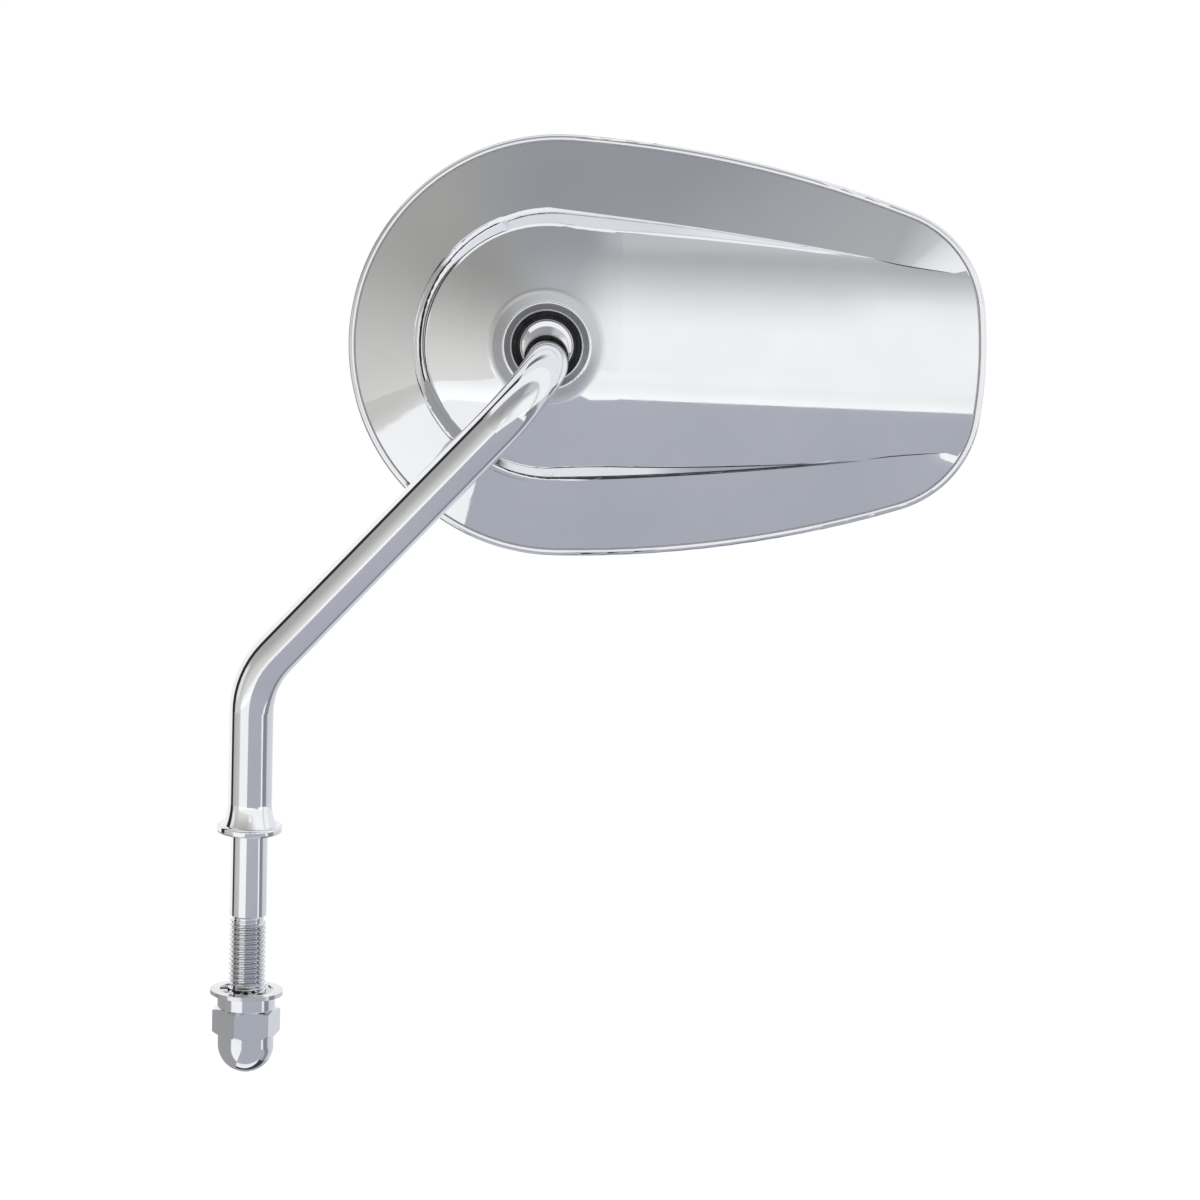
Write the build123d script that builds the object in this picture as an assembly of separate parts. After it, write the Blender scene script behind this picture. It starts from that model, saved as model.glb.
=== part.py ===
from build123d import *
import math
import os

os.makedirs("parts", exist_ok=True)

# Motorcycle mirror on a bent stem. Millimetres, +Z up along the stud.
# The origin lies on the stud axis at the underside of the collar.
# +X points to the long end of the head, +Y to the side that the glass faces.

# Stem sizes
ROD_R = 4.75
SHANK_R = 3.97
SHANK_LEN = 18.0
STUD_LEN = 46.0
THREAD_ROOT_R = 3.35
STUD_CHAMFER = 0.8
COLLAR_R = 7.0
COLLAR_T = 1.7
COLLAR_EDGE = 0.55
FLARE_R = 5.75
FLARE_H = 4.6
ROD_EDGE = 0.45
THREAD_RUN_OUT = 0.5
LOWER_BEND_Z = 33.3
LOWER_BEND_R = 18.0
UPPER_BEND_R = 15.0
BALL_X = 60.3
BALL_Y = 33.5
BALL_Z = 99.5

# Ball joint sizes
BALL_R = 8.0
NECK_R = 3.8
SHOULDER = 10.5
SPIGOT_R = 3.0
SPIGOT_DEPTH = 9.0
SPIGOT_FIT = 0.01
SPIGOT_END_GAP = 0.2
SEAT_GAP = 0.06
SEAT_T = 1.24
SOCKET_GAP = 0.1
FRONT_SEAT_ANGLES = (53.0, 82.0)
REAR_SEAT_ANGLES = (112.0, 166.0)

# Rest attitude of the head on its ball, degrees
HEAD_TILT = -10.5
HEAD_DROOP = 1.25

# Head outline: nose, side, corner and tail arcs, seen from the back
RIM_NOSE_R = 45.0
RIM_NOSE_X = 2.5
RIM_LEAVE_ANGLE = 88.4
RIM_SIDE_R = 248.0
RIM_CORNER_R = 24.0
RIM_TAIL_R = 97.0
RIM_TAIL_X = 93.8

# Foot of the raised ridge
FOOT_NOSE_R = 28.4
FOOT_NOSE_X = 1.1
FOOT_LEAVE_ANGLE = 86.8
FOOT_SIDE_R = 700.0
FOOT_CORNER_R = 10.0
FOOT_TAIL_R = 60.0
FOOT_TAIL_X = 82.0
RIDGE_CORNER_R = 9.5
RIDGE_TAIL_X = 106.0
FOOT_Y = 5.3
FOOT_SLOPE = 0.06
RIDGE_DRAFT = 0.45
RIDGE_BELOW = 5.0
RIDGE_ABOVE = 13.0
RIDGE_EDGE_R = 1.3
RIDGE_COVE_R = 3.0
COVE_START = 27.0
COVE_STEPS = 8
FLANK_LAP = 1.0
FLANK_RISE = 0.45
SKIN_DRAW = 0.8
SKIN_DROP = 0.9
SKIN_SEAT = 0.6

# Crown of the ridge: a capsule with a sloping axis
CROWN_R = 70.0
CROWN_X = 3.0
CROWN_Y = -5.2
CROWN_SLOPE = 10.5
CROWN_LEN = RIDGE_TAIL_X + RIM_CORNER_R

# Rim, wall and glass
RIM_FRONT = 12.5
RIM_BACK = 17.0
RIM_BAND = 1.4
RIM_ROUND = 0.8
GROOVE_W = 0.42
GROOVE_DEPTH = 0.4
WALL = 2.0
RIM_WALL = 2.2
BAND_T = 0.9
LEDGE_Y = 13.4
GLASS_R = 1500.0
GLASS_T = 2.0
GLASS_CROWN = 17.5
GLASS_INSET = 3.1
GASKET_GAP = 0.05
GASKET_LIP = 1.6
GASKET_PROUD = 0.25
CUT_RUN = 1.0

# Socket boss and clamp
LIP_Y = -6.6
LIP_R = 9.45
LIP_IN_R = 9.1
LIP_ROUND = 0.35
LIP_FLARE = 0.85
LIP_BLEND_R = 2.4
MOUTH_R = 7.5
BOSS_R = 12.4
CLAMP_Y = 5.0
PLATE_T = 1.2
CUP_R = 9.6
CUP_FLOOR = 10.8
CUP_HOLE_R = 4.0
CUP_EDGE_R = 1.0
FLANGE_W = 2.6
EAR_PCD_R = 17.0
EAR_R = 4.4
EAR_ANGLES = (90.0, 210.0, 330.0)
SCREW_R = 2.0
SCREW_FIT = 0.02
SCREW_LEN = 4.0
SCREW_HOLE_LEN = 4.4
SCREW_HEAD_R = 3.6
SCREW_HEAD_H = 2.4
SCREW_HEAD_EDGE = 0.8
SCREW_SOCKET_R = 1.5
SCREW_SOCKET_DEPTH = 1.4
SCREW_TIP = 0.4
SCREW_HOLE_GAP = 0.25
SCREW_WASHER_T = 0.9
SCREW_WASHER_R = 3.5
SCREW_WASHER_GAP = 0.12
SLIT_W = 0.4
SLIT_ANGLE = 35.0
SCREW_BOSS_R = 4.0
SPRING_T = 0.7
SPRING_IN_R = 4.9
SPRING_OUT_R = 8.3
SPRING_GAP = 0.05

# Nut and washer on the stud
WASHER_R = 7.75
WASHER_RING_R = 5.7
WASHER_T = 0.9
WASHER_TEETH = 10
TOOTH_TIP_R = 4.12
TOOTH_W = 1.7
TOOTH_T = 0.56
TOOTH_ROOT = 0.65
TOOTH_SINK = 0.02
TOOTH_TWIST = 14.0
NUT_ON = 10.7
NUT_TOP = NUT_ON - STUD_LEN
NUT_COLLAR_R = 6.15
NUT_COLLAR_H = 2.9
NUT_HEX_AF = 12.7
NUT_HEX_H = 5.9
NUT_HEX_TURN = 11.5
NUT_DOME_R = 5.95
NUT_HEIGHT = 17.1
NUT_BORE_GAP = 0.06
NUT_BORE_DEPTH = 13.5
NUT_BORE_EDGE = 0.5
NUT_COLLAR_EDGE = 0.3
NUT_HEX_SINK = 0.1
NUT_HEX_BEVEL_ANGLE = 30.0


def polar(centre, radius, degrees):
    a = math.radians(degrees)
    return (centre[0] + radius * math.cos(a), centre[1] + radius * math.sin(a))


def heading(start, end):
    return math.degrees(math.atan2(end[1] - start[1], end[0] - start[0]))


def arc_chain(nose_r, nose_x, leave, side_r, corner_r, tail_r, tail_x):
    """Centres, radii and end angles of the tangent arcs of the upper half of an outline."""
    nose = (nose_x, 0.0)
    side = polar(nose, nose_r - side_r, leave)
    tail = (tail_x - tail_r, 0.0)
    a = side_r - corner_r
    b = tail_r - corner_r
    gap = math.dist(side, tail)
    q = (a * a - b * b + gap * gap) / (2.0 * gap)
    h = math.sqrt(a * a - q * q)
    turn = heading(side, tail)
    corner = polar(polar(side, q, turn), h, turn - 90.0)
    side_end = heading(side, corner)
    tail_end = heading(tail, corner)
    return [
        (nose, nose_r, 180.0, leave),
        (side, side_r, leave, side_end),
        (corner, corner_r, side_end, tail_end),
        (tail, tail_r, tail_end, 0.0),
    ]


def outline(chain, inset, plane):
    """Closed face: the chain's arcs moved inwards by inset, mirrored about the long axis."""
    nose, side, corner, tail = chain
    spans = [side, corner]
    spans += [(tail[0], tail[1], tail[2], -tail[2])]
    spans += [((c[0], -c[1]), r, -e, -s) for c, r, s, e in (corner, side)]
    spans += [(nose[0], nose[1], -nose[3], nose[3] - 360.0)]
    edges = []
    for c, r, s, e in spans:
        points = [polar(c, r - inset, t) for t in (s, (s + e) / 2.0, e)]
        edges.append(ThreePointArc(*[plane.from_local_coords((p[0], p[1], 0.0)) for p in points]))
    return Face(Wire(edges))


def back_plane(y):
    return Plane(origin=(0, y, 0), x_dir=(1, 0, 0), z_dir=(0, -1, 0))


def foot_plane(height):
    """Sloping plane of the ridge's foot, moved outwards by height."""
    b = math.atan(FOOT_SLOPE)
    base = Plane(
        origin=(0, FOOT_Y, 0),
        x_dir=(math.cos(b), math.sin(b), 0),
        z_dir=(math.sin(b), -math.cos(b), 0),
    )
    return base.offset(height)


def turned(points):
    """Solid of revolution about the socket axis from (radius, y) points."""
    profile = Polyline(*[(r, y, 0) for r, y in points], close=True)
    return revolve(make_face(profile), Axis.Y, 360)


def shell_of_ball(inner, outer, angles):
    """Spherical ring about the socket axis between two angles from the mouth's axis."""
    a, b = [math.radians(t) for t in angles]
    m = (a + b) / 2.0

    def at(r, t):
        return (r * math.sin(t), -r * math.cos(t), 0)

    edges = [
        ThreePointArc(at(inner, a), at(inner, m), at(inner, b)),
        Line(at(inner, b), at(outer, b)),
        ThreePointArc(at(outer, b), at(outer, m), at(outer, a)),
        Line(at(outer, a), at(inner, a)),
    ]
    return revolve(make_face(edges), Axis.Y, 360)


def capsule(radius):
    """Crown form: half sphere and cylinder with one sloping axis."""
    q = radius * math.sqrt(0.5)
    edges = [
        Line((-radius, 0, 0), (CROWN_LEN, 0, 0)),
        Line((CROWN_LEN, 0, 0), (CROWN_LEN, radius, 0)),
        Line((CROWN_LEN, radius, 0), (0, radius, 0)),
        ThreePointArc((0, radius, 0), (-q, q, 0), (-radius, 0, 0)),
    ]
    body = revolve(make_face(edges), Axis.X, 360)
    return Pos(CROWN_X, CROWN_Y + CROWN_R, 0) * Rot(0, 0, CROWN_SLOPE) * body


RIM = arc_chain(RIM_NOSE_R, RIM_NOSE_X, RIM_LEAVE_ANGLE, RIM_SIDE_R, RIM_CORNER_R, RIM_TAIL_R, RIM_TAIL_X)
FOOT_START = (FOOT_NOSE_R, FOOT_NOSE_X, FOOT_LEAVE_ANGLE, FOOT_SIDE_R)
FOOT = arc_chain(*FOOT_START, FOOT_CORNER_R, FOOT_TAIL_R, FOOT_TAIL_X)
RIDGE = arc_chain(*FOOT_START, RIDGE_CORNER_R, RIM_TAIL_R, RIDGE_TAIL_X)


def ridge_wall(skin):
    """Tall drafted prism over the ridge's foot."""
    top = RIDGE_ABOVE - skin
    spots = [(-RIDGE_BELOW, -RIDGE_BELOW * RIDGE_DRAFT), (top, top * RIDGE_DRAFT)]
    return loft([outline(RIDGE, i + SKIN_DRAW * skin, foot_plane(h)) for h, i in spots], ruled=True)


def ridge_cove():
    """Low flared prism that rounds the corner between flank and ridge wall."""
    steep = math.atan(1.0 / RIDGE_DRAFT)
    gentle = math.radians(COVE_START)
    reach = RIDGE_COVE_R * math.tan((steep - gentle) / 2.0)
    rings = []
    for k in range(COVE_STEPS + 1):
        t = gentle + (steep - gentle) * k / COVE_STEPS
        inset = RIDGE_COVE_R * (math.sin(t) - math.sin(gentle)) - reach * math.cos(gentle)
        height = RIDGE_COVE_R * (math.cos(gentle) - math.cos(t)) - reach * math.sin(gentle)
        rings.append(outline(RIDGE, inset, foot_plane(height)))
    skirt = outline(RIDGE, -reach * math.cos(gentle) - RIDGE_BELOW * RIDGE_DRAFT, foot_plane(-RIDGE_BELOW))
    return loft([skirt, rings[0]], ruled=True) + loft(rings)


def back_form(skin, edge):
    """Flank and ridge of the housing, moved inwards by skin; edge rounds the ridge."""
    start = RIM_BAND + skin
    middle = (RIM_FRONT + RIM_BACK) / 2.0
    flank = loft([
        outline(RIM, start, back_plane(middle)),
        outline(RIM, start, back_plane(RIM_FRONT + SKIN_SEAT * skin)),
        outline(FOOT, FLANK_LAP + SKIN_DRAW * skin, foot_plane(FLANK_RISE - SKIN_DROP * skin)),
    ], ruled=True)
    wall = ridge_wall(skin)
    ridge = wall & capsule(CROWN_R - skin)
    within = slab(RIM, start + GROOVE_W, LIP_Y - CUT_RUN, middle)
    if edge == 0.0:
        return (flank - wall) + (ridge & within)
    crown = [f for f in ridge.faces() if f.geom_type in (GeomType.SPHERE, GeomType.CYLINDER)]
    crown_edges = [e for f in crown for e in f.edges()]
    rim_edges = [e for e in crown_edges if sum(e.is_same(o) for o in crown_edges) == 1]
    rim_edges = [e for e in rim_edges if e.center().X < RIM_TAIL_X + RIM_ROUND]
    ridge = with_lip(fillet(rim_edges, edge))
    cove = ridge_cove() & capsule(CROWN_R)
    return (flank - wall) + (ridge & within) + (cove & within)


def socket_cut():
    """Space of the ball socket: countersunk mouth, spherical seat and rear bore."""
    r = BALL_R + SEAT_GAP + SEAT_T + SOCKET_GAP
    t = math.asin(MOUTH_R / r)
    m = (t + math.pi / 2.0) / 2.0
    mouth_y = -r * math.cos(t)
    grow = (LIP_IN_R - MOUTH_R) / (mouth_y - LIP_Y)
    edges = [
        Line((0, LIP_Y - CUT_RUN, 0), (LIP_IN_R + grow * CUT_RUN, LIP_Y - CUT_RUN, 0)),
        Line((LIP_IN_R + grow * CUT_RUN, LIP_Y - CUT_RUN, 0), (MOUTH_R, mouth_y, 0)),
        ThreePointArc((MOUTH_R, mouth_y, 0), (r * math.sin(m), -r * math.cos(m), 0), (r, 0, 0)),
        Line((r, 0, 0), (r, CLAMP_Y + CUT_RUN, 0)),
        Line((r, CLAMP_Y + CUT_RUN, 0), (0, CLAMP_Y + CUT_RUN, 0)),
        Line((0, CLAMP_Y + CUT_RUN, 0), (0, LIP_Y - CUT_RUN, 0)),
    ]
    return revolve(make_face(edges), Axis.Y, 360)


def with_lip(ridge):
    """Ridge with the socket's low flared lip, blended into the crown and rounded on top."""
    deep = -LIP_Y
    cone = [(0.0, LIP_Y), (LIP_R, LIP_Y), (LIP_R + deep * LIP_FLARE, LIP_Y + deep), (0.0, LIP_Y + deep)]
    body = ridge + turned(cone)
    foot = []
    for e in body.edges():
        spots = [e @ t for t in (0.0, 0.3, 0.7, 1.0)]
        rims = [LIP_R + (p.Y - LIP_Y) * LIP_FLARE for p in spots]
        on_cone = all(abs(math.hypot(p.X, p.Z) - r) < 0.01 for p, r in zip(spots, rims))
        if on_cone and e.geom_type != GeomType.LINE and spots[0].Y > LIP_Y + LIP_ROUND:
            foot.append(e)
    body = fillet(foot, LIP_BLEND_R)
    top = [e for e in body.edges() if all(abs((e @ t).Y - LIP_Y) < 0.01 for t in (0.0, 0.3, 0.7))]
    return fillet(top, LIP_ROUND)


def under_crown(x, z, radius):
    """Post from the middle of the crown's skin to the clamp plate."""
    return rod_y(x, z, radius, CROWN_Y, CLAMP_Y) & capsule(CROWN_R - WALL / 2.0)


def ear_spots():
    return [polar((0, 0), EAR_PCD_R, a) for a in EAR_ANGLES]


def rod_y(x, z, radius, y0, y1):
    """Cylinder along the socket axis from y0 to y1."""
    return extrude(Plane(origin=(x, y0, z), x_dir=(1, 0, 0), z_dir=(0, 1, 0)) * Circle(radius), y1 - y0)


def slab(chain, inset, y0, y1):
    """Prism of an outline from y0 to y1."""
    return extrude(outline(chain, inset, back_plane(y0)), y1 - y0, dir=(0, 1, 0))


def glass_sphere(radius):
    """Sphere about the glass's centre of curvature, behind the middle of the outline."""
    middle = (RIM_TAIL_X + RIM_NOSE_X - RIM_NOSE_R) / 2.0
    return Pos(middle, GLASS_CROWN - GLASS_R, 0) * Sphere(radius)


def glass_low():
    """Depth below which no part of the curved glass reaches."""
    length = RIM_TAIL_X - RIM_NOSE_X + RIM_NOSE_R
    return GLASS_CROWN - GLASS_T - length ** 2 / (4.0 * GLASS_R)


def glass_form(inset):
    """Convex glass: prism of the outline between two concentric spheres."""
    blank = slab(RIM, inset, glass_low(), GLASS_CROWN + GLASS_T)
    return (blank & glass_sphere(GLASS_R)) - glass_sphere(GLASS_R - GLASS_T)


def rim_groove():
    """Narrow groove between the rounded rim band and the flank."""
    low = RIM_FRONT - CUT_RUN
    high = RIM_FRONT + GROOVE_DEPTH
    return slab(RIM, RIM_BAND - GROOVE_W / 2.0, low, high) - slab(RIM, RIM_BAND + GROOVE_W / 2.0, low, high)


def make_housing():
    rim = slab(RIM, 0.0, RIM_FRONT, RIM_BACK)
    rim = fillet(rim.faces().sort_by(Axis.Y)[0].edges(), RIM_ROUND)
    body = back_form(0.0, RIDGE_EDGE_R) + rim
    body = body - back_form(WALL, 0.0)
    body = body - slab(RIM, RIM_BAND + WALL, RIM_FRONT + BAND_T, RIM_BACK + CUT_RUN)
    body = body - slab(RIM, RIM_WALL, LEDGE_Y, RIM_BACK + CUT_RUN)
    body = body + under_crown(0, 0, BOSS_R)
    for x, z in ear_spots():
        body = body + under_crown(x, z, SCREW_BOSS_R)
    body = body - socket_cut()
    for x, z in ear_spots():
        body = body - rod_y(x, z, SCREW_R + SCREW_FIT, CLAMP_Y - SCREW_HOLE_LEN, CLAMP_Y + CUT_RUN)
    return body - rim_groove()


def in_head(shape):
    """Place a shape of the head's own frame on the ball, tilted and turned as at rest."""
    return Pos(BALL_X, BALL_Y, BALL_Z) * Rot(HEAD_TILT, 0, 0) * Rot(0, HEAD_DROOP, 0) * shape


def make_front_seat():
    inner = BALL_R + SEAT_GAP
    return shell_of_ball(inner, inner + SEAT_T, FRONT_SEAT_ANGLES)


def make_rear_seat():
    inner = BALL_R + SEAT_GAP
    return shell_of_ball(inner, inner + SEAT_T, REAR_SEAT_ANGLES)


def make_spring():
    """Disc spring: its inner edge bears on the rear seat, its outer edge on the cup's floor."""
    seat = BALL_R + SEAT_GAP + SEAT_T + SOCKET_GAP
    low = math.sqrt(seat ** 2 - SPRING_IN_R ** 2) + SPRING_GAP
    high = CUP_FLOOR - SPRING_T
    return turned([
        (SPRING_IN_R, low),
        (SPRING_OUT_R, high),
        (SPRING_OUT_R, CUP_FLOOR),
        (SPRING_IN_R, low + SPRING_T),
    ])


def make_clamp_plate():
    """Pressed plate: cup behind the seat, flat flange and three ears."""
    flange = rod_y(0, 0, CUP_R + FLANGE_W, CLAMP_Y, CLAMP_Y + PLATE_T)
    for (x, z), a in zip(ear_spots(), EAR_ANGLES):
        spot = Pos(x / 2.0, CLAMP_Y + PLATE_T / 2.0, z / 2.0) * Rot(0, -a, 0)
        web = spot * Box(EAR_PCD_R, PLATE_T, 2 * EAR_R)
        flange = flange + web + rod_y(x, z, EAR_R, CLAMP_Y, CLAMP_Y + PLATE_T)
    plate = flange + rod_y(0, 0, CUP_R + PLATE_T, CLAMP_Y, CUP_FLOOR + PLATE_T)
    plate = fillet(plate.faces().sort_by(Axis.Y)[-1].edges(), CUP_EDGE_R)
    low = CLAMP_Y - CUT_RUN
    plate = plate - rod_y(0, 0, CUP_R, low, CUP_FLOOR)
    plate = plate - rod_y(0, 0, CUP_HOLE_R, CUP_FLOOR - CUT_RUN, CUP_FLOOR + PLATE_T + CUT_RUN)
    for x, z in ear_spots():
        plate = plate - rod_y(x, z, SCREW_R + SCREW_HOLE_GAP, low, CLAMP_Y + PLATE_T + CUT_RUN)
    return plate


def make_screws():
    """Three pan-head screws with hexagon sockets."""
    seat = CLAMP_Y + PLATE_T + SCREW_WASHER_T
    screws = []
    for x, z in ear_spots():
        head = rod_y(x, z, SCREW_HEAD_R, seat, seat + SCREW_HEAD_H)
        head = fillet(head.faces().sort_by(Axis.Y)[-1].edges(), SCREW_HEAD_EDGE)
        plane = Plane(origin=(x, seat + SCREW_HEAD_H, z), x_dir=(1, 0, 0), z_dir=(0, -1, 0))
        head = head - extrude(plane * RegularPolygon(SCREW_SOCKET_R, 6), SCREW_SOCKET_DEPTH)
        tip = CLAMP_Y - SCREW_LEN
        shank = rod_y(x, z, SCREW_R, tip, seat)
        shank = chamfer(shank.faces().sort_by(Axis.Y)[0].edges(), SCREW_TIP)
        screws.append(head + shank)
    return screws


def make_screw_washers():
    """Three split spring washers."""
    washers = []
    y0 = CLAMP_Y + PLATE_T
    for (x, z), a in zip(ear_spots(), EAR_ANGLES):
        ring = rod_y(x, z, SCREW_WASHER_R, y0, y0 + SCREW_WASHER_T)
        ring = ring - rod_y(x, z, SCREW_R + SCREW_WASHER_GAP, y0 - CUT_RUN, y0 + SCREW_WASHER_T + CUT_RUN)
        blade = Box(2 * SCREW_R, 6 * SCREW_WASHER_T, SLIT_W)
        slot = Pos(x, y0, z) * Rot(0, -a, 0) * Pos(SCREW_HEAD_R, 0, 0) * Rot(SLIT_ANGLE, 0, 0) * blade
        washers.append(ring - slot)
    return washers


def make_gasket():
    """Rubber ring on the ledge; the glass is bedded in it."""
    outer = RIM_WALL + GASKET_GAP
    ring = slab(RIM, outer, LEDGE_Y, RIM_BACK + GASKET_PROUD)
    ring = ring - slab(RIM, GLASS_INSET + GASKET_LIP, LEDGE_Y - CUT_RUN, RIM_BACK + GLASS_T)
    over = slab(RIM, GLASS_INSET, glass_low(), RIM_BACK + GLASS_T)
    return ring - (over - glass_sphere(GLASS_R - GLASS_T))


def straight_bend(points, radii):
    """Path of straight lines with tangent arcs at the inner points."""
    pts = [Vector(*p) for p in points]
    edges = []
    last = pts[0]
    for a, b, c, r in zip(pts, pts[1:], pts[2:], radii):
        u = (b - a).normalized()
        v = (c - b).normalized()
        half = math.radians(u.get_angle(v)) / 2.0
        cut = r * math.tan(half)
        start = b - u * cut
        end = b + v * cut
        out = (v - u).normalized()
        middle = b + out * (r / math.cos(half) - r)
        edges.append(Line(last, start))
        edges.append(ThreePointArc(start, middle, end))
        last = end
    edges.append(Line(last, pts[-1]))
    return Wire(edges)


def make_stem():
    """Bent rod with turned collar, shank, threaded end, neck and spigot."""
    flare_top = COLLAR_T + FLARE_H
    path = straight_bend(
        [(0, 0, flare_top), (0, 0, LOWER_BEND_Z), (BALL_X, 0, BALL_Z), (BALL_X, BALL_Y - SHOULDER, BALL_Z)],
        [LOWER_BEND_R, UPPER_BEND_R],
    )
    rod = sweep(Plane.XY.offset(flare_top) * Circle(ROD_R), path=path)
    rod = chamfer(rod.faces().sort_by(Axis.Y)[-1].edges(), ROD_EDGE)
    e = COLLAR_EDGE
    m = COLLAR_R - e + e * math.sqrt(0.5)
    w = e - e * math.sqrt(0.5)
    edges = [
        Line((0, 0, -STUD_LEN), (THREAD_ROOT_R - STUD_CHAMFER, 0, -STUD_LEN)),
        Line((THREAD_ROOT_R - STUD_CHAMFER, 0, -STUD_LEN), (THREAD_ROOT_R, 0, -STUD_LEN + STUD_CHAMFER)),
        Line((THREAD_ROOT_R, 0, -STUD_LEN + STUD_CHAMFER), (THREAD_ROOT_R, 0, -SHANK_LEN - THREAD_RUN_OUT)),
        Line((THREAD_ROOT_R, 0, -SHANK_LEN - THREAD_RUN_OUT), (SHANK_R, 0, -SHANK_LEN)),
        Line((SHANK_R, 0, -SHANK_LEN), (SHANK_R, 0, 0)),
        Line((SHANK_R, 0, 0), (COLLAR_R - e, 0, 0)),
        ThreePointArc((COLLAR_R - e, 0, 0), (m, 0, w), (COLLAR_R, 0, e)),
        Line((COLLAR_R, 0, e), (COLLAR_R, 0, COLLAR_T - e)),
        ThreePointArc((COLLAR_R, 0, COLLAR_T - e), (m, 0, COLLAR_T - w), (COLLAR_R - e, 0, COLLAR_T)),
        Line((COLLAR_R - e, 0, COLLAR_T), (FLARE_R, 0, COLLAR_T)),
        TangentArc((ROD_R, 0, flare_top), (FLARE_R, 0, COLLAR_T), tangent=(0, 0, -1)),
        Line((ROD_R, 0, flare_top), (0, 0, flare_top)),
        Line((0, 0, flare_top), (0, 0, -STUD_LEN)),
    ]
    stud = revolve(make_face(edges), Axis.Z, 360)
    flat = math.sqrt(BALL_R ** 2 - NECK_R ** 2)
    neck = Pos(BALL_X, BALL_Y, BALL_Z) * rod_y(0, 0, NECK_R, -SHOULDER - CUT_RUN, -flat)
    spigot = Pos(BALL_X, BALL_Y, BALL_Z) * rod_y(0, 0, SPIGOT_R, -flat - CUT_RUN, SPIGOT_DEPTH - flat)
    return rod + stud + neck + spigot


def make_ball():
    """Ball with a flat and a blind hole for the stem's spigot."""
    flat = math.sqrt(BALL_R ** 2 - NECK_R ** 2)
    ball = Sphere(BALL_R) - rod_y(0, 0, BALL_R, -BALL_R - CUT_RUN, -flat)
    ball = ball - rod_y(0, 0, SPIGOT_R + SPIGOT_FIT, -BALL_R - CUT_RUN, SPIGOT_DEPTH - flat + SPIGOT_END_GAP)
    return Pos(BALL_X, BALL_Y, BALL_Z) * ball


def make_lock_washer():
    """Internal-tooth washer with twisted teeth."""
    low = Plane.XY.offset(NUT_TOP - CUT_RUN)
    tall = WASHER_T + 2 * CUT_RUN
    ring = extrude(Plane.XY.offset(NUT_TOP) * Circle(WASHER_R), WASHER_T)
    ring = ring - extrude(low * Circle(WASHER_RING_R), tall)
    length = WASHER_RING_R + TOOTH_ROOT - TOOTH_TIP_R + CUT_RUN
    tooth = Box(length, TOOTH_W, TOOTH_T)
    spot = Pos(TOOTH_TIP_R - CUT_RUN + length / 2.0, 0, NUT_TOP + WASHER_T / 2.0) * Rot(TOOTH_TWIST, 0, 0)
    bound = extrude(Plane.XY.offset(NUT_TOP + TOOTH_SINK) * Circle(WASHER_R), WASHER_T - 2 * TOOTH_SINK)
    bound = bound - extrude(low * Circle(TOOTH_TIP_R), tall)
    for k in range(WASHER_TEETH):
        ring = ring + ((Rot(0, 0, 360.0 * k / WASHER_TEETH) * spot * tooth) & bound)
    return ring


def make_nut():
    """Acorn nut: round collar, chamfered hexagon, dome and blind hole."""
    hex_top = NUT_TOP - NUT_COLLAR_H
    hex_low = hex_top - NUT_HEX_H
    corner = NUT_HEX_AF / math.sqrt(3.0)
    prism = extrude(Plane.XY.offset(hex_low) * Rot(0, 0, NUT_HEX_TURN) * RegularPolygon(corner, 6), NUT_HEX_H)
    inner = NUT_HEX_AF / 2.0 - NUT_HEX_SINK
    outer = corner + CUT_RUN
    drop = (outer - inner) * math.tan(math.radians(NUT_HEX_BEVEL_ANGLE))
    edges = Polyline(
        (0, 0, hex_low),
        (inner, 0, hex_low),
        (outer, 0, hex_low + drop),
        (outer, 0, hex_top - drop),
        (inner, 0, hex_top),
        (0, 0, hex_top),
        close=True,
    )
    prism = prism & revolve(make_face(edges), Axis.Z, 360)
    collar = extrude(Plane.XY.offset(hex_top - CUT_RUN) * Circle(NUT_COLLAR_R), NUT_COLLAR_H + CUT_RUN)
    collar = chamfer(collar.faces().sort_by(Axis.Z)[-1].edges(), NUT_COLLAR_EDGE)
    dome_z = NUT_TOP - NUT_HEIGHT + NUT_DOME_R
    barrel = extrude(Plane.XY.offset(dome_z) * Circle(NUT_DOME_R), hex_low + CUT_RUN - dome_z)
    lower = Pos(0, 0, dome_z - NUT_DOME_R) * Box(4 * NUT_DOME_R, 4 * NUT_DOME_R, 2 * NUT_DOME_R)
    dome = (Pos(0, 0, dome_z) * Sphere(NUT_DOME_R)) & lower
    nut = prism + collar + barrel + dome
    bore_r = SHANK_R + NUT_BORE_GAP
    bore_end = Plane.XY.offset(NUT_TOP - NUT_BORE_DEPTH)
    nut = nut - extrude(bore_end * Circle(bore_r), NUT_BORE_DEPTH + CUT_RUN)
    edge = nut.edges().filter_by(GeomType.CIRCLE).filter_by(lambda e: abs(e.radius - bore_r) < 0.001)
    return chamfer(edge.sort_by(Axis.Z)[-1], NUT_BORE_EDGE)


parts = {
    "housing": in_head(make_housing()),
    "front_ball_seat": in_head(make_front_seat()),
    "rear_ball_seat": in_head(make_rear_seat()),
    "seat_spring": in_head(make_spring()),
    "clamp_plate": in_head(make_clamp_plate()),
    "clamp_screws": Compound([in_head(s) for s in make_screws()]),
    "screw_lock_washers": Compound([in_head(s) for s in make_screw_washers()]),
    "mirror_glass": in_head(glass_form(GLASS_INSET)),
    "glass_gasket": in_head(make_gasket()),
    "stem": make_stem(),
    "pivot_ball": make_ball(),
    "lock_washer": make_lock_washer(),
    "acorn_nut": make_nut(),
}
for node, shape in parts.items():
    export_step(shape, "parts/" + node + ".step")
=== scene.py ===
import math
import bmesh
import bpy
from mathutils import Matrix, Vector


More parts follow.
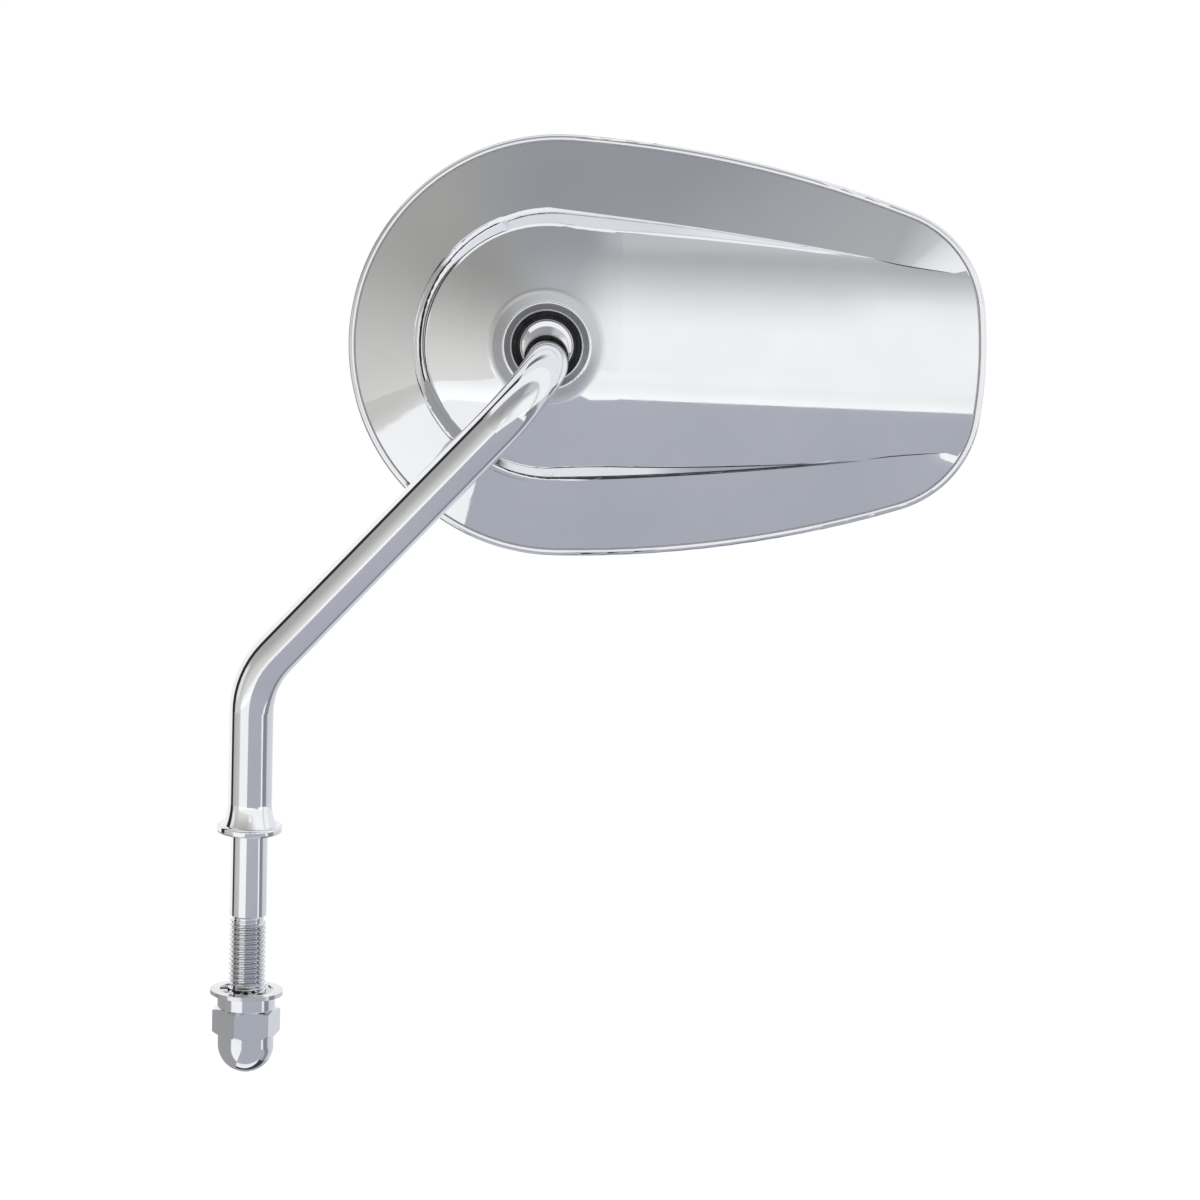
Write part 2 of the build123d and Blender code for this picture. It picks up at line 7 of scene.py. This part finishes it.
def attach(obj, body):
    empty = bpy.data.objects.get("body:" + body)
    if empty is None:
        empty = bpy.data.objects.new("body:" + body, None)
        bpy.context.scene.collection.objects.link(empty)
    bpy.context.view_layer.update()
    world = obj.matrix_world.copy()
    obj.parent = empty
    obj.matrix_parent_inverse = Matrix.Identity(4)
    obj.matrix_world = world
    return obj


# Motorcycle mirror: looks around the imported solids. Metres, +Z up along the stud.

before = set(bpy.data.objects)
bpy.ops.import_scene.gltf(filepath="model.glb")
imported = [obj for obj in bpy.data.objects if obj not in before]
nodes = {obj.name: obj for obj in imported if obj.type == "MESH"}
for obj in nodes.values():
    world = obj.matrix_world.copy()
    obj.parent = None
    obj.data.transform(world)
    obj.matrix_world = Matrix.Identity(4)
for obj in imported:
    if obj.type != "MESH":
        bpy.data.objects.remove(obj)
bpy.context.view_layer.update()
scene = bpy.context.scene
scene.view_settings.view_transform = "Standard"
MM = 0.001


# Materials

def shader(name):
    m = bpy.data.materials.new(name)
    m.use_nodes = True
    tree = m.node_tree
    return m, tree, tree.nodes["Principled BSDF"]


def noise(tree, scale, detail=3.0):
    """Noise in object coordinates; scale in waves per metre."""
    at = tree.nodes.new("ShaderNodeTexCoord")
    n = tree.nodes.new("ShaderNodeTexNoise")
    n.inputs["Scale"].default_value = scale
    n.inputs["Detail"].default_value = detail
    tree.links.new(at.outputs["Object"], n.inputs["Vector"])
    return n.outputs["Fac"]


def spread(tree, value, low, high, start=0.3, end=0.7):
    """Number from low to high while value goes from start to end."""
    r = tree.nodes.new("ShaderNodeMapRange")
    r.inputs["From Min"].default_value = start
    r.inputs["From Max"].default_value = end
    r.inputs["To Min"].default_value = low
    r.inputs["To Max"].default_value = high
    tree.links.new(value, r.inputs["Value"])
    return r.outputs["Result"]


def two_tone(tree, value, a, b, start=0.35, end=0.65):
    """Colour from a to b while value goes from start to end."""
    r = tree.nodes.new("ShaderNodeValToRGB")
    r.color_ramp.elements[0].position = start
    r.color_ramp.elements[0].color = (*a, 1)
    r.color_ramp.elements[1].position = end
    r.color_ramp.elements[1].color = (*b, 1)
    tree.links.new(value, r.inputs["Fac"])
    return r.outputs["Color"]


def bump(tree, bsdf, value, strength, depth):
    b = tree.nodes.new("ShaderNodeBump")
    b.inputs["Strength"].default_value = strength
    b.inputs["Distance"].default_value = depth
    tree.links.new(value, b.inputs["Height"])
    tree.links.new(b.outputs["Normal"], bsdf.inputs["Normal"])


def metal(name, dark, light, rough, wave, grain, height):
    """Metal with slow colour change, uneven gloss and a fine relief."""
    m, tree, bsdf = shader(name)
    bsdf.inputs["Metallic"].default_value = 1.0
    tree.links.new(two_tone(tree, noise(tree, wave), dark, light), bsdf.inputs["Base Color"])
    tree.links.new(spread(tree, noise(tree, grain, 4.0), *rough), bsdf.inputs["Roughness"])
    bump(tree, bsdf, noise(tree, grain * 1.7, 2.0), 0.25, height)
    return m


def dull(name, dark, light, rough, grain, height):
    """Moulded plastic or rubber with mottled colour and a fine grain."""
    m, tree, bsdf = shader(name)
    tree.links.new(two_tone(tree, noise(tree, grain * 0.2), dark, light), bsdf.inputs["Base Color"])
    tree.links.new(spread(tree, noise(tree, grain * 0.6), *rough), bsdf.inputs["Roughness"])
    bump(tree, bsdf, noise(tree, grain, 5.0), 0.5, height)
    return m


CHROME_DARK = (0.84, 0.85, 0.87)
CHROME_LIGHT = (0.90, 0.905, 0.92)
NYLON_DARK = (0.012, 0.012, 0.013)
NYLON_LIGHT = (0.03, 0.03, 0.032)
UM = 0.000001

# node: material, dark and light colour, range of roughness, waves of colour and grain a metre, relief
METALS = {
    "housing": ("housing_chrome", CHROME_DARK, CHROME_LIGHT, (0.02, 0.05), 30, 260, 4 * UM),
    "stem": ("stem_chrome", CHROME_DARK, CHROME_LIGHT, (0.03, 0.07), 40, 420, 4 * UM),
    "pivot_ball": ("ball_chrome", CHROME_DARK, CHROME_LIGHT, (0.02, 0.05), 60, 600, 2 * UM),
    "acorn_nut": ("nut_chrome", CHROME_DARK, CHROME_LIGHT, (0.04, 0.09), 60, 500, 4 * UM),
    "lock_washer": ("washer_steel", (0.74, 0.74, 0.76), (0.84, 0.84, 0.85), (0.08, 0.18), 120, 900, 6 * UM),
    "seat_spring": ("spring_steel", (0.36, 0.37, 0.40), (0.47, 0.46, 0.46), (0.25, 0.4), 150, 1200, 10 * UM),
    "clamp_plate": ("plate_steel", (0.60, 0.61, 0.62), (0.72, 0.72, 0.70), (0.25, 0.42), 90, 1000, 10 * UM),
    "clamp_screws": ("screw_steel", (0.55, 0.56, 0.57), (0.66, 0.66, 0.65), (0.25, 0.4), 150, 1400, 10 * UM),
    "screw_lock_washers": (
        "screw_washer_steel", (0.50, 0.51, 0.53), (0.62, 0.62, 0.62), (0.28, 0.42), 150, 1400, 10 * UM),
    "mirror_glass": (
        "mirror_silver", (0.89, 0.905, 0.91), (0.915, 0.925, 0.93), (0.004, 0.012), 12, 80, 0.5 * UM),
}
# node: material, dark and light colour, range of roughness, waves of grain a metre, relief
DULL = {
    "front_ball_seat": ("seat_nylon", NYLON_DARK, NYLON_LIGHT, (0.32, 0.5), 2500, 10 * UM),
    "rear_ball_seat": ("rear_nylon", NYLON_DARK, NYLON_LIGHT, (0.32, 0.5), 2500, 10 * UM),
    "glass_gasket": (
        "gasket_rubber", (0.018, 0.018, 0.019), (0.035, 0.035, 0.036), (0.55, 0.8), 1800, 30 * UM),
}
looks = {node: metal(*row) for node, row in METALS.items()}
looks.update({node: dull(*row) for node, row in DULL.items()})
for name, look in looks.items():
    mesh = nodes[name].data
    mesh.materials.clear()
    mesh.materials.append(look)


def pick_by(tree, factor, a, b):
    """Colour or number b where factor is 1, a where it is 0."""
    n = tree.nodes.new("ShaderNodeMix")
    colour = isinstance(b, tuple)
    n.data_type = "RGBA" if colour else "FLOAT"
    spots = [i for i in n.inputs if i.enabled]
    tree.links.new(factor, spots[0])
    tree.links.new(a, spots[1])
    spots[2].default_value = (*b, 1) if colour else b
    return [o for o in n.outputs if o.enabled][0]


def number(tree, operation, a, b):
    """Result of a Math node on two sockets or plain numbers."""
    n = tree.nodes.new("ShaderNodeMath")
    n.operation = operation
    for spot, value in zip(n.inputs, (a, b)):
        if isinstance(value, float):
            spot.default_value = value
        else:
            tree.links.new(value, spot)
    return n.outputs[0]


# Ball socket of the housing, in the head's own axes at the ball's centre
BALL = Vector((60.3, 33.5, 99.5)) * MM
HEAD_TILT = math.radians(-10.5)
MOUTH_R = 7.5 * MM
EDGE_R = MOUTH_R + 0.3 * MM
LIP_IN_R = 9.0 * MM
LIP_R = 9.55 * MM
BLEND_R = 12.0 * MM
BLEND_FADE = 0.8 * MM
MOUTH_Y = -5.4 * MM
BLEND_Y = -3.0 * MM
TURNING_PITCH = 0.32 * MM
TURNED_ROUGH = (0.26, 0.40)
SATIN_ROUGH = 0.58
# painted shade: the satin blend and the countersink are coloured darker than the chrome round them
SHADED_SATIN = (0.72, 0.725, 0.735)
COUNTERSINK_SHADE = (0.36, 0.365, 0.38)
BRIGHT_EDGE = (0.92, 0.92, 0.93)
# colour of the painted shade in tight creases
CREASE_SHADE = (0.06, 0.06, 0.065)


def paint_crease_shade(m, reach, low, high):
    """Painted shade: dark colour in grooves and corners narrower than reach."""
    tree = m.node_tree
    spot = tree.nodes["Principled BSDF"].inputs["Base Color"]
    tight = tree.nodes.new("ShaderNodeAmbientOcclusion")
    tight.samples = 6
    tight.only_local = True
    tight.inputs["Distance"].default_value = reach
    crease_shading = spread(tree, tight.outputs["AO"], 1.0, 0.0, low, high)
    tree.links.new(pick_by(tree, crease_shading, spot.links[0].from_socket, CREASE_SHADE), spot)


def dress_socket(m):
    """Turned satin countersink with a bright inner edge, its colour elsewhere darkened as painted shade;
    satin blend round the lip, its colour also darkened as painted shade.
    """
    tree = m.node_tree
    bsdf = tree.nodes["Principled BSDF"]
    base = bsdf.inputs["Base Color"].links[0].from_socket
    gloss = bsdf.inputs["Roughness"].links[0].from_socket
    at = tree.nodes.new("ShaderNodeTexCoord")
    local = tree.nodes.new("ShaderNodeMapping")
    local.vector_type = "TEXTURE"
    local.inputs["Location"].default_value = BALL
    local.inputs["Rotation"].default_value = (HEAD_TILT, 0.0, 0.0)
    tree.links.new(at.outputs["Object"], local.inputs["Vector"])
    axis = tree.nodes.new("ShaderNodeSeparateXYZ")
    tree.links.new(local.outputs["Vector"], axis.inputs["Vector"])
    x, y, z = axis.outputs
    square = number(tree, "ADD", number(tree, "MULTIPLY", x, x), number(tree, "MULTIPLY", z, z))
    radius = number(tree, "POWER", square, 0.5)
    in_lip = number(tree, "LESS_THAN", radius, LIP_IN_R)
    sunk = number(tree, "MULTIPLY", in_lip, number(tree, "LESS_THAN", y, MOUTH_Y))
    wave = number(tree, "SINE", number(tree, "MULTIPLY", radius, 2.0 * math.pi / TURNING_PITCH), 0.0)
    rings = spread(tree, wave, *TURNED_ROUGH, -1.0, 1.0)
    past_lip = number(tree, "GREATER_THAN", radius, LIP_R)
    lip = number(tree, "MULTIPLY", past_lip, number(tree, "LESS_THAN", y, BLEND_Y))
    fade = spread(tree, radius, 1.0, 0.0, BLEND_R - BLEND_FADE, BLEND_R + BLEND_FADE)
    lip = number(tree, "MULTIPLY", lip, fade)
    edge = number(tree, "MULTIPLY", sunk, number(tree, "LESS_THAN", radius, EDGE_R))
    # painted shade on the lip blend and in the countersink; the inner edge keeps a bright chrome colour
    base = pick_by(tree, lip, base, SHADED_SATIN)
    base = pick_by(tree, sunk, base, COUNTERSINK_SHADE)
    base = pick_by(tree, edge, base, BRIGHT_EDGE)
    tree.links.new(base, bsdf.inputs["Base Color"])
    gloss = pick_by(tree, lip, gloss, SATIN_ROUGH)
    turned = tree.nodes.new("ShaderNodeMix")
    spots = [i for i in turned.inputs if i.enabled]
    for spot, value in zip(spots, (sunk, gloss, rings)):
        tree.links.new(value, spot)
    tree.links.new([o for o in turned.outputs if o.enabled][0], bsdf.inputs["Roughness"])


dress_socket(looks["housing"])
# painted shade in the housing's tight grooves and corners
paint_crease_shade(looks["housing"], 0.5 * MM, 0.45, 0.8)
nylon = looks["front_ball_seat"].node_tree.nodes["Principled BSDF"]
nylon.inputs["Specular IOR Level"].default_value = 0.15
silver = looks["mirror_glass"].node_tree.nodes["Principled BSDF"]
silver.inputs["Coat Weight"].default_value = 1.0
silver.inputs["Coat Roughness"].default_value = 0.01


# Rolled thread of the stud: one closed helical ridge

SHARP = math.radians(40)


def mesh_piece(name, points, faces, look):
    """Closed mesh with outward normals, smooth apart from its sharp edges."""
    mesh = bpy.data.meshes.new(name)
    mesh.from_pydata(points, [], faces)
    shape = bmesh.new()
    shape.from_mesh(mesh)
    bmesh.ops.recalc_face_normals(shape, faces=shape.faces)
    shape.to_mesh(mesh)
    shape.free()
    mesh.polygons.foreach_set("use_smooth", [True] * len(mesh.polygons))
    mesh.set_sharp_from_angle(angle=SHARP)
    mesh.materials.append(look)
    piece = bpy.data.objects.new(name, mesh)
    scene.collection.objects.link(piece)
    return piece


PITCH = 25.4 / 24 * MM
THREAD_TOP = -18.6 * MM
THREAD_LOW = -45.2 * MM
ROOT_R = 3.3 * MM
CREST_R = 3.93 * MM
STEPS = 40
RUN_OUT = 0.6 * STEPS
THINNEST = 0.04
# share of the thread's depth and share of its pitch, round one section of the ridge
SECTION = [(0.0, -0.46), (0.7, -0.16), (1.0, -0.06), (1.0, 0.06), (0.7, 0.16), (0.0, 0.46)]


def helix(name, top, low, root, crest, look):
    """Helical ridge that runs out at both ends."""
    turns = (top - low) / PITCH
    count = int(turns * STEPS)
    points = []
    for i in range(count + 1):
        a = 2.0 * math.pi * i / STEPS
        fade = max(min(1.0, i / RUN_OUT, (count - i) / RUN_OUT), THINNEST)
        for out, lift in SECTION:
            r = root + (crest - root) * out * fade
            z = low + PITCH * (i / STEPS + lift * fade)
            points.append((r * math.cos(a), r * math.sin(a), z))
    n = len(SECTION)
    faces = []
    for i in range(count):
        for k in range(n):
            a, b = i * n + k, i * n + (k + 1) % n
            faces.append((a, b, b + n, a + n))
    faces.append(tuple(reversed(range(n))))
    faces.append(tuple(count * n + k for k in range(n)))
    return mesh_piece(name, points, faces, look)


# painted shade: the thread's chrome is coloured darker than the stem's, and its roots get painted shade in
# the creases
thread_look = metal("thread_chrome", (0.76, 0.77, 0.79), (0.82, 0.825, 0.84), (0.05, 0.1), 60, 500, 4 * UM)
paint_crease_shade(thread_look, 0.45 * MM, 0.40, 0.92)
thread = helix("stud_thread", THREAD_TOP, THREAD_LOW, ROOT_R, CREST_R, thread_look)
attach(thread, "stem")


# Floor, grey studio cards and light

def card(name, place, colour, parts):
    """Glowing card seen only in reflections; place and colour take the shares across and down it."""
    across, down = parts
    points, tones = [], []
    for j in range(down + 1):
        for i in range(across + 1):
            u, v = i / across, j / down
            p = place(u, v)
            points.append(p)
            tones.append(colour(u, v, p))
    w = across + 1
    faces = [
        (j * w + i, j * w + i + 1, (j + 1) * w + i + 1, (j + 1) * w + i)
        for j in range(down) for i in range(across)
    ]
    mesh = bpy.data.meshes.new(name)
    mesh.from_pydata(points, [], faces)
    layer = mesh.color_attributes.new("tone", "FLOAT_COLOR", "POINT")
    for k, t in enumerate(tones):
        layer.data[k].color = (*t, 1.0)
    m = bpy.data.materials.new(name)
    m.use_nodes = True
    tree = m.node_tree
    tree.nodes.clear()
    tone = tree.nodes.new("ShaderNodeAttribute")
    tone.attribute_name = "tone"
    glow = tree.nodes.new("ShaderNodeEmission")
    out = tree.nodes.new("ShaderNodeOutputMaterial")
    tree.links.new(tone.outputs["Color"], glow.inputs["Color"])
    tree.links.new(glow.outputs["Emission"], out.inputs["Surface"])
    mesh.materials.append(m)
    piece = bpy.data.objects.new(name, mesh)
    scene.collection.objects.link(piece)
    piece.visible_camera = False
    piece.visible_diffuse = False
    piece.visible_shadow = False


def step(x, low, high):
    """0 below low, 1 above high and a soft change between them."""
    t = max(0.0, min(1.0, (x - low) / (high - low)))
    return t * t * (3.0 - 2.0 * t)


def mix(a, b, t):
    """Tone a where t is 0, b where it is 1."""
    return tuple(p * (1 - t) + q * t for p, q in zip(a, b))


def along(stops, x):
    """Tone at x between the nearest two stops."""
    for (low, a), (high, b) in zip(stops, stops[1:]):
        if x <= high:
            return mix(a, b, (x - low) / (high - low))
    return stops[-1][1]


CENTRE = Vector((0.08, 0.03, 0.09))
CANOPY_R = 1.6
CANOPY_END = 165.0
CANOPY_LOW = 3.0
CANOPY_LOW_DROP = 23.0
CANOPY_HIGH = 188.0
CANOPY_HIGH_RISE = 14.0
FLOOR_Z = -0.25
WHITE = (1.0, 1.0, 1.0)
BLACK = (0.03, 0.03, 0.035)


def warm(x):
    """Grey with a touch of yellow."""
    return (x, 0.99 * x, 0.955 * x)


def cool(x):
    """Grey with a touch of blue."""
    return (x, 1.005 * x, 1.015 * x)


def canopy_angles(u, v):
    """Angle from the front axis and angle round it, 0 to the right and 90 upwards, in degrees."""
    t = CANOPY_END * u
    low = CANOPY_LOW - CANOPY_LOW_DROP * step(t, 60.0, 70.0)
    high = CANOPY_HIGH + CANOPY_HIGH_RISE * step(t, 50.0, 75.0)
    return t, low + (high - low) * v


def canopy_point(u, v):
    t, f = [math.radians(a) for a in canopy_angles(u, v)]
    across = math.sin(t)
    return CENTRE + CANOPY_R * Vector((across * math.cos(f), -math.cos(t), across * math.sin(f)))


FRONT_LOW = (0.74, 0.75, 0.765)
FRONT_HIGH = (0.33, 0.34, 0.365)
RIGHT_HIGH = (0.60, 0.61, 0.625)
FACE_ON = (0.95, 0.95, 0.96)
OVERHEAD = (0.97, 0.975, 0.99)
PAST_OVERHEAD = (0.86, 0.87, 0.90)
STREAK = (0.88, 0.88, 0.88)
BEHIND = (0.88, 0.89, 0.93)
SHADE = (0.16, 0.16, 0.17)


def canopy_tone(u, v, p):
    """Soft grey dome: pale low down and to the right, white overhead, a dark band behind the part."""
    t, f = canopy_angles(u, v)
    d = (p - CENTRE) / CANOPY_R
    rise = math.degrees(math.asin(max(-1.0, min(1.0, d.z))))
    turn = math.degrees(math.atan2(d.x, -d.y))
    # Front, darker with height, and the warmer left side
    tone = mix(FRONT_LOW, FRONT_HIGH, step(rise, 0.0, 52.0))
    near = mix(warm(0.83), warm(0.34), step(rise, -10.0, 38.0))
    far = mix(warm(0.74), warm(0.38), step(rise, -25.0, 42.0))
    left = mix(near, far, step(t, 48.0, 66.0))
    tone = mix(tone, left, step(f, 92.0, 130.0))
    # Right side, with a white end behind a bowed edge
    tone = mix(tone, RIGHT_HIGH, (1.0 - step(f, 60.0, 82.0)) * step(t, 40.0, 56.0))
    to_right = step(turn, 0.0, 24.0) * (1.0 - step(t, 52.0, 60.0)) * (1.0 - step(rise, 38.0, 46.0))
    right = mix(cool(0.985), cool(0.42), step(rise, 14.0, 46.0))
    tone = mix(tone, right, to_right)
    edge = turn - 23.35 - 0.03 * rise - 0.0035 * rise * rise
    right_end = step(edge, -0.35, 0.45) * (1.0 - step(turn, 60.0, 75.0))
    tone = mix(tone, WHITE, right_end * (1.0 - step(rise, 18.0, 38.0)))
    # Pale patch behind the camera
    face_on = (1.0 - step(abs(turn), 5.0, 8.0)) * (1.0 - step(abs(rise - 8.2), 5.0, 8.0))
    tone = mix(tone, FACE_ON, face_on)
    # Overhead, with a pale streak on the left
    not_left = 1.0 - step(f, 138.0, 144.0)
    tone = mix(tone, OVERHEAD, step(t, 71.0, 75.0) * not_left)
    tone = mix(tone, PAST_OVERHEAD, step(t, 97.0, 101.0) * not_left)
    streak = step(f, 163.0, 169.0) * (1.0 - step(f, 184.0, 190.0))
    tone = mix(tone, STREAK, streak * step(t, 74.0, 77.0) * (1.0 - step(t, 89.0, 92.0)))
    # Behind the part: a dark ring that fades to the right, then pale
    behind = mix(BEHIND, WHITE, step(f, 130.0, 155.0))
    dark_from, dark_to = (117.0, 126.5) if f < 114.0 else (99.0 - 7.0 * step(f, 142.0, 147.0), 112.5)
    shade = mix(SHADE, BLACK, step(f, 110.0, 118.0))
    tone = mix(tone, shade, step(t, dark_from - 1.0, dark_from + 1.0) * step(f, 64.0, 98.0))
    return mix(tone, behind, step(t, dark_to - 1.0, dark_to + 1.0))


card("canopy_card", canopy_point, canopy_tone, (300, 320))

SKIRT_IN = 0.04
SKIRT_OUT = 1.6
SKIRT_Z = FLOOR_Z + 0.001
# bands on the floor by angle, 0 to the front and 90 to the right
SKIRT_TONES = [
    (-180, WHITE), (-116, WHITE), (-113, BLACK), (-98, BLACK), (-95, (0.50, 0.495, 0.47)),
    (-60, (0.62, 0.615, 0.59)), (-54, WHITE), (63, WHITE), (67, (0.25, 0.255, 0.28)),
    (88, (0.28, 0.285, 0.31)), (93, (0.66, 0.67, 0.72)), (145, (0.74, 0.75, 0.80)),
    (150, WHITE), (180, WHITE),
]
SKIRT_GREY = (0.36, 0.36, 0.365)
FAN_START = 40.0
FAN_R = 1.1
FAN_TURN = 38.0


def fan_turn(p):
    """Angle on the floor, plain and curled; the bands on the right curl round the stud."""
    turn = math.degrees(math.atan2(p.x, -p.y))
    curl = FAN_TURN * max(0.0, FAN_R - math.hypot(p.x, p.y))
    return turn, turn - curl


def skirt_point(u, v):
    a = math.radians(360.0 * u - 180.0)
    r = SKIRT_IN + (SKIRT_OUT - SKIRT_IN) * v
    return Vector((r * math.sin(a), -r * math.cos(a), SKIRT_Z))


def skirt_tone(u, v, p):
    """Bands by angle; grey near the stud on the left."""
    turn, curled = fan_turn(p)
    if turn > FAN_START:
        return along(SKIRT_TONES, max(FAN_START, curled))
    r = math.hypot(p.x, p.y)
    near = mix(SKIRT_GREY, WHITE, step(turn, -64.0, -58.0))
    return mix(near, along(SKIRT_TONES, turn), step(r, 0.86, 0.92))


card("skirt_card", skirt_point, skirt_tone, (360, 52))


TABLE_Z = FLOOR_Z + 0.002
TABLE_PLAN = [(-0.03, 0.35), (0.33, 0.35), (1.75, -1.95), (-0.40, -1.95)]
TABLE_CORNERS = [Vector((x, y, TABLE_Z)) for x, y in TABLE_PLAN]
TABLE_BACK = (0.43, 0.445, 0.50)
TABLE_FRONT = (0.46, 0.475, 0.53)
TABLE_CORNER = (0.64, 0.655, 0.70)
UNDER_PALE = (0.95, 0.95, 0.97)
UNDER_DARK = (0.05, 0.05, 0.06)


def table_point(u, v):
    a, b, c, d = TABLE_CORNERS
    return (a * (1 - u) + b * u) * (1 - v) + (d * (1 - u) + c * u) * v


def table_tone(u, v, p):
    """Blue-grey table with a pale and a dark strip under the head."""
    tone = mix(TABLE_BACK, TABLE_FRONT, v)
    tone = mix(tone, TABLE_CORNER, step(v, 0.7, 1.0) * step(u, 0.55, 0.9))
    curled = fan_turn(p)[1]
    outer = mix(tone, along(SKIRT_TONES, max(67.0, curled)), step(curled, 64.0, 68.0))
    under = mix(tone, UNDER_PALE, step(p.y, -0.05, -0.032))
    start = 0.055 - 0.5 * max(0.0, p.x)
    under = mix(under, UNDER_DARK, step(p.y, start - 0.004, start + 0.006))
    under = mix(under, tone, step(p.y, 0.12, 0.14))
    return mix(under, outer, step(p.x, 0.17, 0.19))


card("table_card", table_point, table_tone, (60, 240))


def seen_rays(tree):
    """1 for camera, glossy and transmission rays, 0 for the rest."""
    path = tree.nodes.new("ShaderNodeLightPath")
    add = tree.nodes.new("ShaderNodeMath")
    add.operation = "ADD"
    tree.links.new(path.outputs["Is Camera Ray"], add.inputs[0])
    tree.links.new(path.outputs["Is Glossy Ray"], add.inputs[1])
    both = tree.nodes.new("ShaderNodeMath")
    both.operation = "ADD"
    both.use_clamp = True
    tree.links.new(add.outputs[0], both.inputs[0])
    tree.links.new(path.outputs["Is Transmission Ray"], both.inputs[1])
    return both.outputs[0]


# The floor looks white where it is seen and keeps the shadow; it lights the part as plain matt white.
FLOOR_HALF = 6
FLOOR_GLOW = 0.70
corners = [(x * FLOOR_HALF, y * FLOOR_HALF, FLOOR_Z) for x, y in ((-1, -1), (1, -1), (1, 1), (-1, 1))]
floor_mesh = bpy.data.meshes.new("floor")
floor_mesh.from_pydata(corners, [], [(0, 1, 2, 3)])
floor = bpy.data.objects.new("floor", floor_mesh)
scene.collection.objects.link(floor)
m = bpy.data.materials.new("floor")
m.use_nodes = True
tree = m.node_tree
tree.nodes.clear()
matt = tree.nodes.new("ShaderNodeBsdfDiffuse")
matt.inputs["Color"].default_value = (0.9, 0.9, 0.9, 1)
white = tree.nodes.new("ShaderNodeEmission")
white.inputs["Strength"].default_value = FLOOR_GLOW
shaded = tree.nodes.new("ShaderNodeBsdfDiffuse")
shaded.inputs["Color"].default_value = (0.5, 0.5, 0.5, 1)
pale = tree.nodes.new("ShaderNodeAddShader")
tree.links.new(white.outputs["Emission"], pale.inputs[0])
tree.links.new(shaded.outputs["BSDF"], pale.inputs[1])
pick = tree.nodes.new("ShaderNodeMixShader")
tree.links.new(seen_rays(tree), pick.inputs["Fac"])
tree.links.new(matt.outputs["BSDF"], pick.inputs[1])
tree.links.new(pale.outputs["Shader"], pick.inputs[2])
out = tree.nodes.new("ShaderNodeOutputMaterial")
tree.links.new(pick.outputs["Shader"], out.inputs["Surface"])
floor_mesh.materials.append(m)

WORLD_LIGHT = 0.55
world = bpy.data.worlds.new("studio")
scene.world = world
world.use_nodes = True
tree = world.node_tree
tree.nodes.clear()
plain = tree.nodes.new("ShaderNodeBackground")
plain.inputs["Color"].default_value = (1, 1, 1, 1)
plain.inputs["Strength"].default_value = WORLD_LIGHT
white = tree.nodes.new("ShaderNodeBackground")
white.inputs["Color"].default_value = (1, 1, 1, 1)
white.inputs["Strength"].default_value = 1.0
pick = tree.nodes.new("ShaderNodeMixShader")
tree.links.new(seen_rays(tree), pick.inputs["Fac"])
tree.links.new(plain.outputs["Background"], pick.inputs[1])
tree.links.new(white.outputs["Background"], pick.inputs[2])
out = tree.nodes.new("ShaderNodeOutputWorld")
tree.links.new(pick.outputs["Shader"], out.inputs["Surface"])


def lamp(name, place, target, size, watts):
    """Round area lamp that the metal does not mirror."""
    data = bpy.data.lights.new(name, "AREA")
    data.shape = "DISK"
    data.size = size
    data.energy = watts
    piece = bpy.data.objects.new(name, data)
    piece.location = place
    piece.rotation_euler = (Vector(target) - Vector(place)).to_track_quat("-Z", "Y").to_euler()
    piece.visible_glossy = False
    scene.collection.objects.link(piece)


LIT = (0.06, 0, 0.05)
lamp("key", (-1.1, -1.5, 1.9), LIT, 1.0, 22)
lamp("fill", (1.6, -1.1, 1.3), LIT, 1.2, 10)


# Camera: long lens, slightly above the head, a little rolled
ELEVATION = math.radians(12.8)
ROLL = math.radians(1.4)
AIM = Vector((0.0729, 0.0, 0.0520))
DISTANCE = 2.526
LENS = 360.0
SENSOR = 36.0
ahead = Vector((0.0, math.cos(ELEVATION), -math.sin(ELEVATION)))
right = Vector((1.0, 0.0, 0.0))
up = right.cross(ahead)
x_axis = right * math.cos(ROLL) + up * math.sin(ROLL)
y_axis = up * math.cos(ROLL) - right * math.sin(ROLL)
eye = AIM - ahead * DISTANCE
data = bpy.data.cameras.new("camera")
data.sensor_fit = "HORIZONTAL"
data.sensor_width = SENSOR
data.lens = LENS
camera = bpy.data.objects.new("camera", data)
camera.matrix_world = Matrix((
    (x_axis.x, y_axis.x, -ahead.x, eye.x),
    (x_axis.y, y_axis.y, -ahead.y, eye.y),
    (x_axis.z, y_axis.z, -ahead.z, eye.z),
    (0.0, 0.0, 0.0, 1.0),
))
scene.collection.objects.link(camera)
scene.camera = camera
